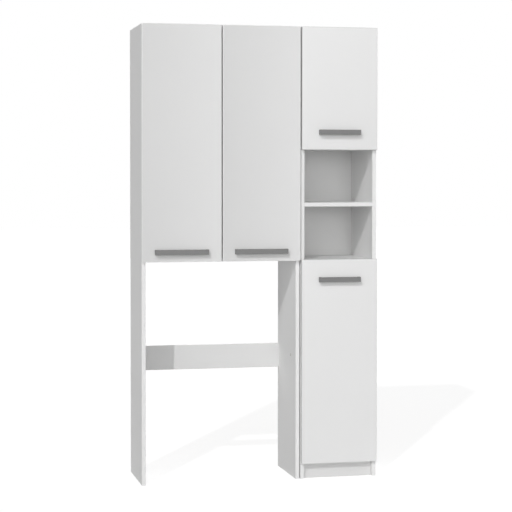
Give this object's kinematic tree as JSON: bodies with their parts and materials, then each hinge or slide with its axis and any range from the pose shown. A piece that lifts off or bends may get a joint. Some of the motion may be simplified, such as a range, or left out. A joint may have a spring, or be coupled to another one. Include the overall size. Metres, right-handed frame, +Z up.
{
  "type": "bathroom cabinet",
  "caption": "Tall white bathroom cabinet with an open appliance bay under two doors, and a column with an upper door, open niches and a lower door.",
  "frame": {"origin": "on the floor, under the middle of the cabinet's footprint with its handles", "axes": "+Z up, -Y towards the front with the doors, +X to the right seen from the front"},
  "size_m": [0.96, 0.34, 1.815],
  "materials": {
    "white_board": "white melamine, satin",
    "white_door": "white laminate, satin",
    "white_back": "white lacquered hardboard",
    "grey_handle": "satin grey",
    "hinge_steel": "nickel plated",
    "bracket_steel": "zinc plated"
  },
  "bodies": {
    "cabinet": {"main_left_side": "white_board", "main_right_side": "white_board", "main_top": "white_board", "main_bottom": "white_board", "main_rear_rail": "white_board", "main_shelf_1": "white_board", "main_shelf_2": "white_board", "main_back": "white_back", "column_left_side": "white_board", "column_right_side": "white_board", "column_top": "white_board", "niche_top": "white_board", "niche_shelf": "white_board", "niche_floor": "white_board", "column_bottom": "white_board", "column_plinth": "white_board", "column_shelf_1": "white_board", "column_shelf_2": "white_board", "column_shelf_3": "white_board", "column_back": "white_back", "main_left_hinge_lower_arm": "hinge_steel", "main_left_hinge_upper_arm": "hinge_steel", "main_right_hinge_lower_arm": "hinge_steel", "main_right_hinge_upper_arm": "hinge_steel", "column_upper_hinge_lower_arm": "hinge_steel", "column_upper_hinge_upper_arm": "hinge_steel", "column_lower_hinge_lower_arm": "hinge_steel", "column_lower_hinge_upper_arm": "hinge_steel", "wall_bracket_1": "bracket_steel", "wall_bracket_2": "bracket_steel", "wall_bracket_3": "bracket_steel", "joining_bolt_1": "bracket_steel", "joining_bolt_2": "bracket_steel", "joining_bolt_3": "bracket_steel"},
    "main_left_door": {"main_left_door": "white_door", "main_left_handle": "grey_handle", "main_left_hinge_lower_cup": "hinge_steel", "main_left_hinge_upper_cup": "hinge_steel"},
    "main_left_levers": {"main_left_hinge_lower_lever": "hinge_steel", "main_left_hinge_upper_lever": "hinge_steel"},
    "main_right_door": {"main_right_door": "white_door", "main_right_handle": "grey_handle", "main_right_hinge_lower_cup": "hinge_steel", "main_right_hinge_upper_cup": "hinge_steel"},
    "main_right_levers": {"main_right_hinge_lower_lever": "hinge_steel", "main_right_hinge_upper_lever": "hinge_steel"},
    "column_upper_door": {"column_upper_door": "white_door", "column_upper_handle": "grey_handle", "column_upper_hinge_lower_cup": "hinge_steel", "column_upper_hinge_upper_cup": "hinge_steel"},
    "column_upper_levers": {"column_upper_hinge_lower_lever": "hinge_steel", "column_upper_hinge_upper_lever": "hinge_steel"},
    "column_lower_door": {"column_lower_door": "white_door", "column_lower_handle": "grey_handle", "column_lower_hinge_lower_cup": "hinge_steel", "column_lower_hinge_upper_cup": "hinge_steel"},
    "column_lower_levers": {"column_lower_hinge_lower_lever": "hinge_steel", "column_lower_hinge_upper_lever": "hinge_steel"}
  },
  "joints": [
    {"name": "main_left_door_swing", "type": "hinge", "parent": "cabinet", "child": "main_left_door", "pos_m": [-0.4725, -0.147, 1.3475], "axis": [0, 0, -1], "range_deg": [0, 100]},
    {"name": "main_right_door_swing", "type": "hinge", "parent": "cabinet", "child": "main_right_door", "pos_m": [0.1525, -0.147, 1.3475], "axis": [0, 0, 1], "range_deg": [0, 100]},
    {"name": "column_upper_door_swing", "type": "hinge", "parent": "cabinet", "child": "column_upper_door", "pos_m": [0.4725, -0.147, 1.5695], "axis": [0, 0, 1], "range_deg": [0, 100]},
    {"name": "column_lower_door_swing", "type": "hinge", "parent": "cabinet", "child": "column_lower_door", "pos_m": [0.4725, -0.147, 0.473], "axis": [0, 0, 1], "range_deg": [0, 100]},
    {"name": "main_left_lever_swing", "type": "hinge", "parent": "cabinet", "child": "main_left_levers", "pos_m": [-0.44803, -0.13524, 1.3475], "axis": [0, 0, 1], "range_deg": [0, 63]},
    {"name": "main_right_lever_swing", "type": "hinge", "parent": "cabinet", "child": "main_right_levers", "pos_m": [0.12802, -0.13524, 1.3475], "axis": [0, 0, -1], "range_deg": [0, 63]},
    {"name": "column_upper_lever_swing", "type": "hinge", "parent": "cabinet", "child": "column_upper_levers", "pos_m": [0.44803, -0.13524, 1.5695], "axis": [0, 0, -1], "range_deg": [0, 63]},
    {"name": "column_lower_lever_swing", "type": "hinge", "parent": "cabinet", "child": "column_lower_levers", "pos_m": [0.44803, -0.13524, 0.473], "axis": [0, 0, -1], "range_deg": [0, 63]}
  ],
  "couplings": [
    {"joint": "main_left_lever_swing", "follows": "main_left_door_swing", "ratio": 0.63},
    {"joint": "main_right_lever_swing", "follows": "main_right_door_swing", "ratio": 0.63},
    {"joint": "column_upper_lever_swing", "follows": "column_upper_door_swing", "ratio": 0.63},
    {"joint": "column_lower_lever_swing", "follows": "column_lower_door_swing", "ratio": 0.63}
  ]
}
